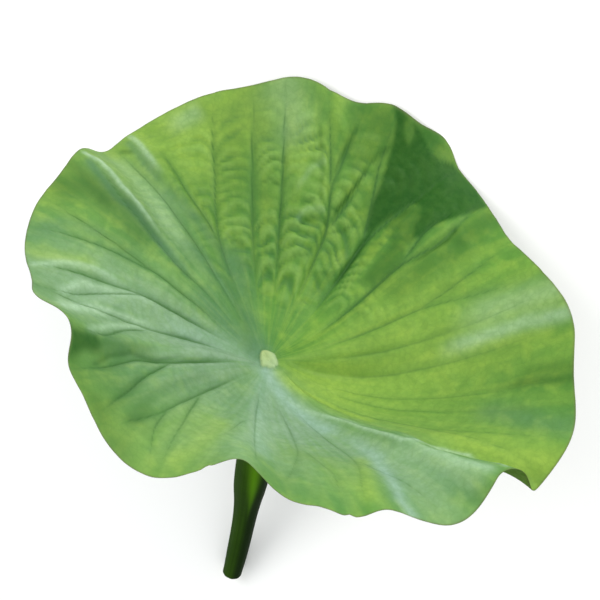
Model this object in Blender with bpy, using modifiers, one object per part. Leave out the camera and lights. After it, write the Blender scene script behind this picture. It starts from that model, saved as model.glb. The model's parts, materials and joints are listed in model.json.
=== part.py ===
"""A lotus leaf as cut and laid down: a wavy, funnel-shaped blade on its long round stalk.

Units are metres, with +Z up and the floor at Z = 0. The leaf lies on two lobes of its rear edge and on the
cut end of its stalk, and its upper face looks towards -Y and up. The blade is drawn in a frame of its own:
the navel, where the stalk meets the blade, is the origin, +Z runs out of the upper face along the stalk's
line, and azimuth is counted from +X towards +Y.
"""

import math

import bmesh
import bpy
import numpy as np
from mathutils import Matrix, Vector

MM = 0.001
OBJECT_NAME = "lotus_leaf"

# How the leaf lies: the navel's place in mm, then roll, tilt and heading in degrees.
NAVEL_AT = (10.4, -21.5, 101.43)
REST_ROLL = 22.54
REST_TILT = -58.72
REST_HEADING = 207.0

# The blade's edge: azimuth in degrees, reach from the stalk's line in mm, lift above the navel in mm.
RIM = (
    (0, 165, 65), (8, 160, 65), (18, 156, 58), (27, 154, 52), (36, 158, 49), (44, 162, 51),
    (50, 163, 58), (54, 165, 68), (60, 158, 76), (67, 156, 80), (74, 152, 76), (82, 151, 80),
    (89, 155, 82), (97, 159, 69), (105, 165, 56), (113, 169, 42), (121, 169, 30), (127, 165, 28),
    (133, 161, 33), (138, 161, 44), (146, 156, 48), (158, 152, 53), (170, 149, 58), (180, 146, 62),
    (190, 143, 70), (198, 143, 78), (203, 134, 81), (208, 133, 77), (214, 142, 75), (222, 147, 72),
    (231, 152, 64), (240, 152, 56), (246, 147, 57), (252, 136, 63), (258, 129, 69), (264, 134, 66),
    (271, 144, 62), (278, 146, 61), (284, 151, 58), (290, 150, 60), (297, 155, 52), (303, 163, 46),
    (310, 164, 51), (314, 161, 60), (317, 159.5, 62), (319, 162, 64), (321, 167, 61), (323, 171, 48),
    (325, 173, 37), (327, 174, 37), (332, 176, 48), (340, 174, 54), (348, 167, 59), (355, 165, 63),
)

# The bowl inside that edge: azimuth in degrees, then the lift in mm a third and two thirds of the way out.
BOWL = (
    (0, -5, 20), (10, 3, 25), (22, 8, 29), (40, 8, 34), (60, 8, 38), (80, 12, 44), (100, 12, 38),
    (120, 18, 32), (135, 24, 36), (150, 26, 42), (170, 27, 48), (190, 24, 46), (210, 26, 46),
    (230, 24, 46), (250, 18, 44), (265, 12, 38), (285, 8, 38), (300, 4, 34), (320, 4, 34),
    (335, -2, 24), (348, -5, 18),
)

# Crests and creases that run out from the navel: azimuth where it starts, azimuth at the edge, height in mm,
# half width in degrees, and the share of the way out where it starts.
FOLDS = (
    (145, 137, 4.5, 4.0, 0.30),
    (118, 125, 3.5, 3.5, 0.30),
    (60, 60, -6.0, 7.0, 0.20),
    (41, 39, 3.5, 5.0, 0.35),
    (314, 316, 4.0, 5.0, 0.20),
    (196, 199, 3.0, 4.0, 0.35),
    (208, 211, -3.5, 4.5, 0.35),
    (321, 321, -11.0, 5.0, 0.60),
)

# The ribs on the underside, by azimuth in degrees.
RIBS = (
    1, 11, 22, 40, 57, 70, 86, 100, 116, 128, 143, 161, 177, 192, 213, 232, 246, 260, 279, 298, 315, 331, 349,
)

BLADE_THICKNESS = 0.6
RIB_DEPTH = 2.4
RIB_SIDE = 2.2
WIDEST_STEP = 4.5
NAVEL_RADIUS = 9.5
MEAN_REACH = 155.0
RINGS = 14

# The stalk, in the blade's frame.
STALK_END = (14.0, -8.0, -208.5)
STALK_TOP_HANDLE = (0.0, 0.0, -25.0)
STALK_END_HANDLE = (14.0, 0.0, -120.0)
STALK_GAP = 0.3
STALK_RADII = (
    (0.0, 8.4), (0.08, 9.0), (0.3, 9.9), (0.5, 10.7), (0.6, 10.9), (0.66, 10.5), (0.7, 9.1), (0.75, 7.9),
    (0.81, 7.3), (0.9, 6.9), (0.95, 6.6), (1.0, 6.1),
)
STALK_POINTS = 22
STALK_SIDES = 16


def spline_round(stations, column):
    """A smooth closed curve through one column of a table whose first column is azimuth in degrees."""
    turn = 360.0
    angles = np.array([row[0] for row in stations], float)
    values = np.array([row[column] for row in stations], float)
    steps = (np.roll(angles, -1) - angles) % turn
    count = len(angles)
    matrix = np.zeros((count, count))
    right = np.zeros(count)
    for i in range(count):
        before, after = steps[i - 1], steps[i]
        matrix[i, i - 1] += before
        matrix[i, i] += 2 * (before + after)
        matrix[i, (i + 1) % count] += after
        right[i] = 6 * ((values[(i + 1) % count] - values[i]) / after - (values[i] - values[i - 1]) / before)
    bend = np.linalg.solve(matrix, right)
    starts = np.concatenate([[0.0], np.cumsum(steps[:-1])])

    def value(azimuth):
        along = (azimuth - angles[0]) % turn
        i = int(np.searchsorted(starts, along, side="right")) - 1
        j = (i + 1) % count
        width = steps[i]
        done = along - starts[i]
        left = width - done
        curved = (bend[i] * left**3 + bend[j] * done**3) / (6 * width)
        low = (values[i] / width - bend[i] * width / 6) * left
        high = (values[j] / width - bend[j] * width / 6) * done
        return float(curved + low + high)

    return value


def ease(value, low, high):
    """0 below low, 1 above high, and smooth between."""
    t = min(max((value - low) / (high - low), 0.0), 1.0)
    return t * t * (3 - 2 * t)


def turn_between(a, b):
    """The signed angle from b to a, in degrees."""
    return (a - b + 180.0) % 360.0 - 180.0


RIM_REACH = spline_round(RIM, 1)
RIM_LIFT = spline_round(RIM, 2)
INNER_LIFT = spline_round(BOWL, 1)
MIDDLE_LIFT = spline_round(BOWL, 2)


def fold_lift(azimuth, share):
    """The height that the crests and creases add, in mm."""
    total = 0.0
    for start_azimuth, edge_azimuth, height, half_width, start in FOLDS:
        line = start_azimuth + (edge_azimuth - start_azimuth) * ease(share, start, 1.0)
        across = turn_between(azimuth, line) / half_width
        along = ease(share, start, 0.75) * (1 - ease(share, 0.8, 1.1))
        total += height * along * math.exp(-(across**2))
    return total


def blade_point(azimuth, share):
    """A point of the upper face in mm: share is 0 at the navel and 1 at the edge."""
    reach = share * RIM_REACH(azimuth)
    flat = NAVEL_RADIUS / MEAN_REACH
    t = 3 * max(share - flat, 0.0) / (1 - flat)
    inner = INNER_LIFT(azimuth) * t * (t - 2) * (t - 3) / 2
    middle = MIDDLE_LIFT(azimuth) * t * (t - 1) * (3 - t) / 2
    outer = RIM_LIFT(azimuth) * t * (t - 1) * (t - 2) / 6
    lift = inner + middle + outer + fold_lift(azimuth, share)
    angle = math.radians(azimuth)
    return Vector((reach * math.cos(angle), reach * math.sin(angle), lift))


def rib_weight(azimuth, share):
    """The share of the ribs' full depth at a point: 1 at the navel, and fading along each rib."""
    nearest = min(abs(turn_between(azimuth, rib)) for rib in RIBS)
    on_rib = 1.0 if nearest < 0.5 * RIB_SIDE else 0.0
    near_navel = 1 - ease(share, 0.065, 0.15)
    fade = (1 - share) ** 0.8
    return max(near_navel, on_rib * fade)


def column_azimuths():
    """Three columns of points along each rib, and more where two ribs stand far apart."""
    sides = sorted((rib + offset) % 360.0 for rib in RIBS for offset in (-RIB_SIDE, 0.0, RIB_SIDE))
    columns = []
    for here, after in zip(sides, sides[1:] + [sides[0] + 360.0]):
        parts = max(1, math.ceil((after - here) / WIDEST_STEP))
        columns += [here + (after - here) * k / parts for k in range(parts)]
    return columns


def make_material(name, colour, roughness):
    material = bpy.data.materials.new(name)
    material.use_nodes = True
    shader = material.node_tree.nodes["Principled BSDF"]
    shader.inputs["Base Color"].default_value = (*colour, 1.0)
    shader.inputs["Roughness"].default_value = roughness
    shader.inputs["Metallic"].default_value = 0.0
    return material


def blade_sheet(mesh_name):
    """The blade's upper face: a disc at the navel whose edge is extruded out, ring by ring."""
    columns = column_azimuths()
    mesh = bpy.data.meshes.new(mesh_name)
    bm = bmesh.new()
    weight = bm.verts.layers.deform.verify()
    azimuth_of = bm.verts.layers.float.new("azimuth")
    disc = bmesh.ops.create_circle(bm, segments=len(columns), radius=1.0, cap_ends=True, cap_tris=True)
    centre = min(disc["verts"], key=lambda v: v.co.length)
    ring = [v for v in disc["verts"] if v is not centre]
    ring.sort(key=lambda v: math.atan2(v.co.y, v.co.x) % math.tau)
    for vertex, azimuth in zip(ring, columns):
        vertex[azimuth_of] = azimuth
    centre[weight][0] = 1.0
    edges = [e for e in bm.edges if centre not in e.verts]
    flat = NAVEL_RADIUS / MEAN_REACH
    for number in range(RINGS + 1):
        share = flat + (1 - flat) * number / RINGS
        if number:
            out = bmesh.ops.extrude_edge_only(bm, edges=edges)["geom"]
            ring = [part for part in out if isinstance(part, bmesh.types.BMVert)]
            rim = set(ring)
            edges = [part for part in out if isinstance(part, bmesh.types.BMEdge) and rim.issuperset(part.verts)]
        for vertex in ring:
            vertex.co = blade_point(vertex[azimuth_of], share) * MM
            depth = BLADE_THICKNESS + RIB_DEPTH * rib_weight(vertex[azimuth_of], share)
            vertex[weight][0] = depth / (BLADE_THICKNESS + RIB_DEPTH)
    bmesh.ops.recalc_face_normals(bm, faces=bm.faces)
    bm.normal_update()
    if centre.normal.z < 0:
        bmesh.ops.reverse_faces(bm, faces=bm.faces)
    bm.to_mesh(mesh)
    bm.free()
    return mesh


def make_blade(collection):
    """The blade with its navel and ribs, which grew as one piece."""
    mesh = blade_sheet("leaf_blade")
    mesh.shade_smooth()
    blade = bpy.data.objects.new("leaf_blade", mesh)
    collection.objects.link(blade)
    blade.vertex_groups.new(name="depth")
    wall = blade.modifiers.new("Wall", "SOLIDIFY")
    wall.thickness = (BLADE_THICKNESS + RIB_DEPTH) * MM
    wall.offset = -1.0
    wall.vertex_group = "depth"
    mesh.materials.append(make_material("blade_green", (0.16, 0.33, 0.05), 0.5))
    return blade


def stalk_place(along):
    """A point of the stalk's line in mm, on a smooth curve that leaves the navel straight down."""
    back = 1 - along
    top = Vector((0.0, 0.0, -(BLADE_THICKNESS + RIB_DEPTH + STALK_GAP)))
    from_top = top * back**3 + Vector(STALK_TOP_HANDLE) * 3 * along * back**2
    return from_top + Vector(STALK_END_HANDLE) * 3 * along**2 * back + Vector(STALK_END) * along**3


def stalk_radius(along):
    places = [row[0] for row in STALK_RADII]
    radii = [row[1] for row in STALK_RADII]
    return float(np.interp(along, places, radii))


def make_stalk(collection):
    """The round stalk, slightly bowed, from under the navel to its cut end."""
    curve = bpy.data.curves.new("leaf_stalk", "CURVE")
    curve.dimensions = "3D"
    curve.bevel_depth = MM
    curve.bevel_resolution = STALK_SIDES // 2 - 2
    curve.use_fill_caps = True
    spline = curve.splines.new("POLY")
    spline.points.add(STALK_POINTS - 1)
    for number, point in enumerate(spline.points):
        along = number / (STALK_POINTS - 1)
        point.co = (*(stalk_place(along) * MM), 1.0)
        point.radius = stalk_radius(along)
    stalk = bpy.data.objects.new("leaf_stalk", curve)
    collection.objects.link(stalk)
    curve.materials.append(make_material("stalk_green", (0.05, 0.12, 0.02), 0.45))
    return stalk


def main():
    for obj in list(bpy.data.objects):
        bpy.data.objects.remove(obj, do_unlink=True)
    collection = bpy.data.collections.new(OBJECT_NAME)
    bpy.context.scene.collection.children.link(collection)
    navel = bpy.data.objects.new("navel", None)
    collection.objects.link(navel)
    for piece in (make_blade(collection), make_stalk(collection)):
        piece.parent = navel
    heading = Matrix.Rotation(math.radians(REST_HEADING), 4, "Z")
    tilt = Matrix.Rotation(math.radians(REST_TILT), 4, "X")
    roll = Matrix.Rotation(math.radians(REST_ROLL), 4, "Y")
    navel.matrix_world = Matrix.Translation(Vector(NAVEL_AT) * MM) @ heading @ tilt @ roll


main()
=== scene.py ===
"""The looks of a cut lotus leaf that lies on two lobes of its edge and on its stalk's end.

The blade is one closed sheet, spun from its section and then shaped vein by vein, and the stalk is a round
stem with air canals in its cut end. Lengths are in millimetres in the blade's own frame, where the navel is
the origin, +Z runs out of the upper face along the stalk's line and azimuth is counted from +X towards +Y.
"""

import json
import math

import bpy
import numpy as np
from mathutils import Matrix, Vector, noise

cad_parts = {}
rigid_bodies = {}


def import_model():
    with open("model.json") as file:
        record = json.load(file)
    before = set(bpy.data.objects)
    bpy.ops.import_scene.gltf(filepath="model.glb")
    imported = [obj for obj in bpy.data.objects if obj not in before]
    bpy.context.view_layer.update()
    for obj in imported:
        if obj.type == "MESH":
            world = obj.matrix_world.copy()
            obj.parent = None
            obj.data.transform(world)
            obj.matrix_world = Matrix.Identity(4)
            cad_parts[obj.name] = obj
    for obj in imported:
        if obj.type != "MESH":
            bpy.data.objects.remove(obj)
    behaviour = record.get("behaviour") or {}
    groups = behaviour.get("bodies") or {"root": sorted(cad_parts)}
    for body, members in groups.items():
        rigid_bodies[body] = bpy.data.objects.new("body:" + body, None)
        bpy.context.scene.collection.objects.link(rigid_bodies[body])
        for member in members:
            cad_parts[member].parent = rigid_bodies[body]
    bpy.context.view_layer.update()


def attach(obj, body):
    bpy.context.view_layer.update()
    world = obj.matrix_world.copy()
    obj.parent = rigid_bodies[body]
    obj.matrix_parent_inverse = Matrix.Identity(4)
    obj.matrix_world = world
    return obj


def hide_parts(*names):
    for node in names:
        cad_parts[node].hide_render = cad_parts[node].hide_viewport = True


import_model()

MM = 0.001
TURN = 360.0

# The side of the square of random values that soft noise is read from.
LATTICE = 64

# How the leaf lies: the navel's place in mm, then roll, tilt and heading in degrees.
NAVEL_AT = (10.4, -21.5, 101.43)
REST_ROLL = 22.54
REST_TILT = -58.72
REST_HEADING = 207.0

# The blade's edge: azimuth in degrees, reach from the stalk's line in mm, lift above the navel in mm.
RIM = (
    (0, 165, 65), (8, 160, 65), (18, 156, 58), (27, 154, 52), (36, 158, 49), (44, 162, 51),
    (50, 163, 58), (54, 165, 68), (60, 158, 76), (67, 156, 80), (74, 152, 76), (82, 151, 80),
    (89, 155, 82), (97, 159, 69), (105, 165, 56), (113, 169, 42), (121, 169, 30), (127, 165, 28),
    (133, 161, 33), (138, 161, 44), (146, 156, 48), (158, 152, 53), (170, 149, 58), (180, 146, 62),
    (190, 143, 70), (198, 143, 78), (203, 134, 81), (208, 133, 77), (214, 142, 75), (222, 147, 72),
    (231, 152, 64), (240, 152, 56), (246, 147, 57), (252, 136, 63), (258, 129, 69), (264, 134, 66),
    (271, 144, 62), (278, 146, 61), (284, 151, 58), (290, 150, 60), (297, 155, 52), (303, 163, 46),
    (310, 164, 51), (314, 161, 60), (317, 159.5, 62), (319, 162, 64), (321, 167, 61), (323, 171, 48),
    (325, 173, 37), (327, 174, 37), (332, 176, 48), (340, 174, 54), (348, 167, 59), (355, 165, 63),
)

# The bowl inside that edge: azimuth in degrees, then the lift in mm a third and two thirds of the way out.
BOWL = (
    (0, -5, 20), (10, 3, 25), (22, 8, 29), (40, 8, 34), (60, 8, 38), (80, 12, 44), (100, 12, 38),
    (120, 18, 32), (135, 24, 36), (150, 26, 42), (170, 27, 48), (190, 24, 46), (210, 26, 46),
    (230, 24, 46), (250, 18, 44), (265, 12, 38), (285, 8, 38), (300, 4, 34), (320, 4, 34),
    (335, -2, 24), (348, -5, 18),
)

# Crests and creases that run out from the navel: azimuth where it starts, azimuth at the edge, height in mm,
# half width in degrees, and the share of the way out where it starts.
FOLDS = (
    (145, 137, 4.5, 4.0, 0.30),
    (118, 125, 3.5, 3.5, 0.30),
    (60, 60, -6.0, 7.0, 0.20),
    (41, 39, 3.5, 5.0, 0.35),
    (314, 316, 4.0, 5.0, 0.20),
    (196, 199, 3.0, 4.0, 0.35),
    (208, 211, -3.5, 4.5, 0.35),
    (321, 321, -11.0, 5.0, 0.60),
)

# Each vein's line as (share of the way out, azimuth) points. A line that starts past the navel is a branch.
VEINS = (
    ((0.05, 1), (1.0, 1)),
    ((0.05, 11), (1.0, 10)),
    ((0.05, 22), (0.60, 22), (0.92, 16), (1.0, 15)),
    ((0.60, 22), (0.90, 26), (1.0, 27)),
    ((0.05, 40), (0.60, 40), (0.74, 37), (0.94, 39), (1.0, 40)),
    ((0.60, 40), (0.74, 43), (0.94, 41)),
    ((0.05, 55), (0.60, 57), (0.80, 51), (1.0, 49)),
    ((0.60, 57), (0.83, 64), (1.0, 66)),
    ((0.05, 70), (0.57, 70), (0.69, 74), (0.91, 73), (1.0, 73)),
    ((0.57, 70), (0.79, 65)),
    ((0.69, 74), (0.91, 80), (1.0, 82)),
    ((0.05, 86), (1.0, 92)),
    ((0.05, 102), (0.50, 100), (1.0, 98)),
    ((0.05, 116), (0.45, 116), (0.68, 110), (1.0, 106)),
    ((0.45, 116), (0.66, 121), (0.90, 121)),
    ((0.05, 129), (0.50, 129), (1.0, 129)),
    ((0.05, 143), (0.45, 148), (0.94, 139)),
    ((0.05, 162), (0.50, 161), (0.90, 159), (1.0, 158)),
    ((0.50, 161), (0.90, 168), (1.0, 170)),
    ((0.05, 176), (0.52, 177), (0.82, 180), (1.0, 182)),
    ((0.52, 177), (0.82, 188), (1.0, 191)),
    ((0.05, 191), (0.51, 193), (0.81, 191), (1.0, 190)),
    ((0.51, 193), (0.81, 204), (1.0, 206)),
    ((0.05, 214), (0.50, 213), (0.68, 210), (0.86, 214), (1.0, 216)),
    ((0.50, 213), (0.76, 222), (0.92, 226), (1.0, 227)),
    ((0.05, 232), (0.72, 232), (0.95, 229)),
    ((0.64, 232), (0.78, 235), (0.92, 240), (1.0, 242)),
    ((0.44, 232), (0.52, 235), (0.67, 239), (0.87, 242), (1.0, 243)),
    ((0.05, 259), (0.55, 261), (1.0, 263)),
    ((0.50, 260), (0.56, 255), (0.75, 251)),
    ((0.05, 281), (0.40, 281), (0.60, 278), (0.80, 272), (1.0, 267)),
    ((0.55, 281), (0.74, 285), (1.0, 281)),
    ((0.05, 299), (0.60, 298), (0.85, 289), (1.0, 286)),
    ((0.60, 298), (0.80, 302), (1.0, 304)),
    ((0.05, 315), (1.0, 317)),
    ((0.05, 331), (0.55, 331), (1.0, 328)),
    ((0.55, 331), (1.0, 336)),
    ((0.05, 348), (0.60, 348), (1.0, 349)),
    ((0.05, 340), (0.60, 342), (1.0, 342)),
)

BLADE_THICKNESS = 0.6
EDGE_THINNING = 0.45
RIB_DEPTH = 2.4
NAVEL_RADIUS = 9.5
MEAN_REACH = 155.0
FLAT_SHARE = NAVEL_RADIUS / MEAN_REACH

# The azimuth of the far side, which is wrinkled most, and how far round from it the wrinkles and the bubbles
# go, all in degrees.
FAR_SIDE = 84.0
WRINKLES_ROUND = 36.0
BUBBLES_ROUND = 42.0

# How strongly the veins quilt the upper face: azimuth in degrees, and the share of the full relief.
QUILTING = (
    (0, 0.35), (20, 0.5), (38, 0.95), (60, 1.0), (82, 0.85), (102, 0.75), (122, 0.7), (145, 0.6),
    (170, 0.85), (192, 1.0), (213, 1.0), (228, 0.9), (240, 0.5), (258, 0.45), (283, 0.4), (300, 0.45),
    (316, 0.4), (335, 0.35),
)

# The relief of the upper face, in mm.
VEIN_GROOVE = 0.8
VEIN_HALF_WIDTH = 0.95
PILLOW_HEIGHT = 2.1
PILLOW_HALF_WIDTH = 3.4
CREASE_ROUNDING = 0.45
WRINKLE_HEIGHT = 1.1
WRINKLE_SPACING = 7.4
WRINKLE_ARCH = 4.0
WAVE_HEIGHT = 1.1
BUBBLE_HEIGHT = 1.3
UNDER_WRINKLE_SHARE = 0.45
UNDER_EXTRA_DEPTH = 1.2
FINE_HEIGHT = 0.3
BOSS_RADIUS = 6.2
BOSS_HEIGHT = 1.3
BOSS_SPLIT_AZIMUTH = 35.0

# The blade is shaped from a lens of unit radius. It has this many points round it, this half thickness,
# rings over the boss in mm, even steps in mm between its other rings, and the last ring at this share of
# the way out. One more ring lies under the navel.
COLUMNS = 608
LENS_HALF = 0.1
BOSS_RINGS = (0.0, 1.2, 2.4, 3.6, 4.6, 5.4, 6.1, 6.8, 7.6, 8.5)
RING_STEP = 1.7
UNDER_STEP = 2.45
LAST_RING = 0.998
PLATE_RING = 0.03

# Broad patches on the upper face: azimuth, share of the way out, half width in degrees, half length in
# shares of the way out, and strength. First the thick wax bloom, partly a painted sheen of the sky, then
# yellow-green, partly the painted glow of light through the blade, then deep green.
WAX_BLOOM_AND_SHEEN_PATCHES = (
    (283, 0.36, 34, 0.34, 1.0),
    (303, 0.75, 8, 0.34, 0.6),
    (205, 0.30, 42, 0.42, 0.95),
    (188, 0.80, 16, 0.30, 0.7),
    (176, 0.62, 12, 0.34, 0.4),
    (252, 0.66, 16, 0.30, 0.3),
    (138, 0.62, 9, 0.32, 0.4),
    (266, 0.72, 26, 0.22, 0.25),
)
YELLOW_AND_GLOW_PATCHES = (
    (345, 0.22, 26, 0.20, 0.8),
    (352, 0.45, 26, 0.30, 0.4),
    (328, 0.80, 7, 0.30, 0.8),
    (112, 0.92, 26, 0.26, 0.75),
    (4, 0.75, 14, 0.30, 0.45),
    (238, 0.97, 22, 0.12, 0.35),
    (20, 0.45, 22, 0.30, 0.45),
    (156, 0.98, 5, 0.06, 0.6),
)
DEEP_PATCHES = (
    (92, 0.50, 34, 0.24, 0.2),
    (118, 0.60, 10, 0.25, 0.12),
    (218, 0.86, 10, 0.14, 0.22),
    (70, 0.88, 10, 0.14, 0.12),
)

# Marks that follow a line on the upper face, by the colour field that they strengthen. Each has its
# strength, its height in mm, its half width in mm, and its line as pixels of the photograph.
# Painted highlights: pale blue-white light along the crests and ridges.
PAINTED_HIGHLIGHT_MARKS = (
    (
        1.0, 1.3, 1.5, (169, 245), (157, 228), (146, 214), (135, 199), (122, 185), (110, 172), (99, 161),
        (84, 152),
    ),
    (0.35, 0.0, 9.0, (192, 258), (170, 222), (148, 190), (122, 165)),
    (0.75, 1.2, 1.8, (166, 178), (155, 164), (144, 151), (137, 143), (130, 137)),
    (0.6, 0.8, 2.4, (132, 287), (109, 276), (92, 268), (60, 263), (33, 263)),
    (0.6, 0.8, 2.6, (171, 314), (157, 305), (135, 294), (103, 290), (84, 284), (60, 289)),
    (1.0, 1.2, 4.6, (118, 314), (89, 307), (66, 306)),
    (0.3, 0.0, 6.0, (150, 298), (120, 290), (80, 292), (66, 300)),
    (0.7, 1.0, 2.4, (160, 328), (136, 321), (122, 316), (106, 311)),
    (0.65, 0.9, 2.8, (190, 336), (160, 330), (141, 325), (112, 325), (92, 329)),
    (0.75, 1.1, 1.7, (280, 391), (289, 400), (345, 420), (402, 441), (445, 450), (467, 456), (505, 465)),
    (0.7, 0.0, 4.8, (389, 430), (423, 447), (456, 460), (486, 467)),
    (0.35, 0.0, 7.0, (340, 430), (400, 452), (440, 468), (472, 478)),
    (0.3, 0.0, 10.0, (300, 420), (262, 425), (245, 440), (238, 462)),
    (0.3, 0.0, 11.0, (302, 160), (292, 112), (282, 84)),
    (0.35, 0.0, 7.0, (205, 105), (180, 122)),
    (0.6, 0.0, 4.5, (430, 356), (455, 347), (485, 336), (522, 323), (568, 311)),
    (0.4, 0.0, 10.0, (440, 325), (510, 302), (552, 290)),
    (0.24, 0.6, 1.5, (292, 226), (297, 218), (307, 211), (324, 211)),
    (0.22, 0.6, 1.6, (293, 196), (300, 184), (312, 168), (324, 162)),
)
# Blue-grey marks: wax bloom with a painted sheen of the sky, along the ridge below the navel and beside it.
BLUE_BLOOM_AND_SHEEN_MARKS = (
    (0.35, 0.0, 9.0, (250, 354), (218, 342), (180, 328)),
    (0.9, 0.0, 6.5, (266, 372), (276, 386), (304, 417), (326, 430)),
    (0.8, -0.6, 4.4, (326, 430), (354, 440), (376, 456), (391, 480), (402, 502), (411, 513)),
    (0.5, 0.0, 6.0, (262, 385), (258, 420), (262, 450)),
)
# Yellow-green marks, partly the painted glow of light shining through the blade.
YELLOW_AND_GLOW_MARKS = (
    (0.3, 0.0, 12.0, (130, 440), (168, 430), (200, 415)),
    (0.5, 0.0, 6.0, (36, 252), (60, 258), (85, 262)),
    (0.9, 0.0, 4.2, (278, 373), (300, 388), (324, 401), (371, 420)),
    (0.9, 0.5, 7.0, (420, 418), (445, 431), (467, 443), (499, 453), (540, 464)),
    (0.9, 0.0, 9.0, (520, 462), (545, 462)),
    (0.55, 0.0, 9.0, (176, 462), (196, 448), (208, 436), (220, 424)),
    (0.6, 0.0, 6.0, (362, 460), (368, 495)),
    (0.4, 0.0, 3.5, (48, 192), (62, 197), (78, 202)),
    (0.5, 0.0, 5.0, (243, 168), (241, 140), (236, 104)),
    (0.3, 0.0, 9.0, (296, 452), (328, 462), (345, 482)),
    (0.6, 0.0, 12.0, (302, 150), (292, 112), (282, 84)),
    (0.45, 0.0, 4.5, (170, 150), (180, 168), (201, 202), (219, 241)),
    (0.6, 0.0, 12.0, (440, 330), (510, 306), (552, 296)),
    (0.85, 0.0, 5.5, (425, 357), (480, 346), (545, 333)),
)
# Painted shade: dark blue-green bands on the flanks beside the crests and on the slope left of the navel.
SHADE_MARKS = (
    (
        0.85, -0.8, 3.2, (204, 297), (194, 284), (186, 271), (173, 256), (160, 241), (146, 225), (134, 209),
        (119, 197), (105, 180), (90, 161),
    ),
    (0.65, -0.6, 2.8, (171, 195), (159, 179), (146, 164), (139, 154), (129, 144)),
    (0.5, 0.0, 8.0, (262, 350), (252, 320), (244, 290), (238, 262)),
    (0.6, 0.0, 7.0, (256, 350), (240, 336), (222, 318), (204, 297)),
    (0.35, 0.0, 6.0, (44, 228), (70, 222), (96, 230)),
    (0.6, -0.8, 6.0, (250, 325), (236, 285), (222, 250), (205, 228), (188, 211), (171, 195)),
    (0.65, 0.0, 7.0, (258, 350), (246, 318), (228, 290), (208, 262), (192, 245)),
    (0.5, 0.0, 9.0, (490, 412), (530, 420), (566, 426)),
)
# Dark green marks: partly the blade's own deeper green, and partly painted shade along the creases and
# beside the painted shadow.
DEEP_GREEN_AND_CREASE_SHADE_MARKS = (
    (0.55, 0.0, 13.0, (62, 184), (90, 188), (118, 208), (140, 232)),
    (0.5, -1.2, 3.2, (490, 390), (521, 382), (543, 378), (571, 376)),
    (0.35, 0.0, 4.0, (530, 371), (550, 367), (571, 366)),
    (0.45, 0.0, 6.0, (74, 165), (90, 182), (104, 200)),
    (0.5, 0.0, 2.2, (123, 150), (130, 152)),
    (0.95, -1.0, 1.8, (330, 288), (338, 277), (353, 256), (364, 238), (373, 227)),
    (0.4, 0.0, 9.0, (398, 286), (430, 265), (462, 246), (484, 230), (500, 217)),
    (0.8, -0.9, 1.3, (404, 263), (419, 257), (433, 248), (447, 239), (457, 229)),
    (0.9, -1.0, 1.2, (330, 222), (336, 212), (345, 200), (356, 187), (366, 172)),
    (0.5, -0.5, 1.2, (360, 181), (370, 166), (380, 154), (392, 145)),
    (0.5, 0.0, 3.4, (419, 207), (417, 222), (412, 238)),
    (0.35, 0.0, 6.0, (458, 238), (478, 222), (496, 209)),
    (0.3, 0.0, 3.0, (376, 236), (386, 226), (397, 217), (406, 211)),
    (0.4, 0.0, 2.0, (322, 200), (322, 175), (322, 150), (321, 128)),
    (0.55, -0.7, 1.6, (200, 356), (179, 357), (155, 359), (132, 352), (109, 356), (95, 363)),
    (0.3, 0.0, 5.0, (140, 380), (120, 398), (104, 415), (98, 400)),
    (0.32, 0.0, 8.0, (74, 362), (84, 388), (98, 416), (112, 440)),
    (0.25, 0.0, 8.0, (120, 450), (130, 425), (145, 410)),
    (0.3, 0.0, 5.0, (205, 375), (175, 385), (150, 398), (135, 420)),
    (0.6, -0.5, 1.6, (228, 244), (235, 241), (243, 244)),
    (0.55, -0.6, 1.2, (256, 186), (262, 183), (269, 180), (278, 184)),
    (0.6, -0.7, 1.2, (292, 232), (298, 226), (306, 220), (316, 218), (328, 223)),
    (0.5, -0.5, 1.6, (297, 205), (305, 202), (314, 200)),
    (0.5, -0.6, 1.1, (322, 233), (334, 232), (345, 229), (355, 225)),
    (0.45, -0.5, 1.4, (262, 163), (272, 160), (284, 158)),
    (0.45, -0.5, 1.2, (257, 276), (262, 270), (270, 266), (279, 266)),
    (0.45, -0.5, 1.2, (286, 260), (296, 256), (308, 256)),
    (0.4, -0.4, 1.4, (318, 276), (326, 275), (334, 276)),
    (0.6, -0.6, 1.1, (332, 176), (338, 164), (346, 150), (357, 128)),
    (0.22, 0.0, 13.0, (230, 150), (236, 190), (242, 232)),
    (0.2, 0.0, 11.0, (316, 232), (328, 258), (318, 288)),
)
MARKS = {
    "pale": PAINTED_HIGHLIGHT_MARKS,
    "blue": BLUE_BLOOM_AND_SHEEN_MARKS,
    "yellow_and_glow": YELLOW_AND_GLOW_MARKS,
    "shade": SHADE_MARKS,
    "deep": DEEP_GREEN_AND_CREASE_SHADE_MARKS,
}

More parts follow.
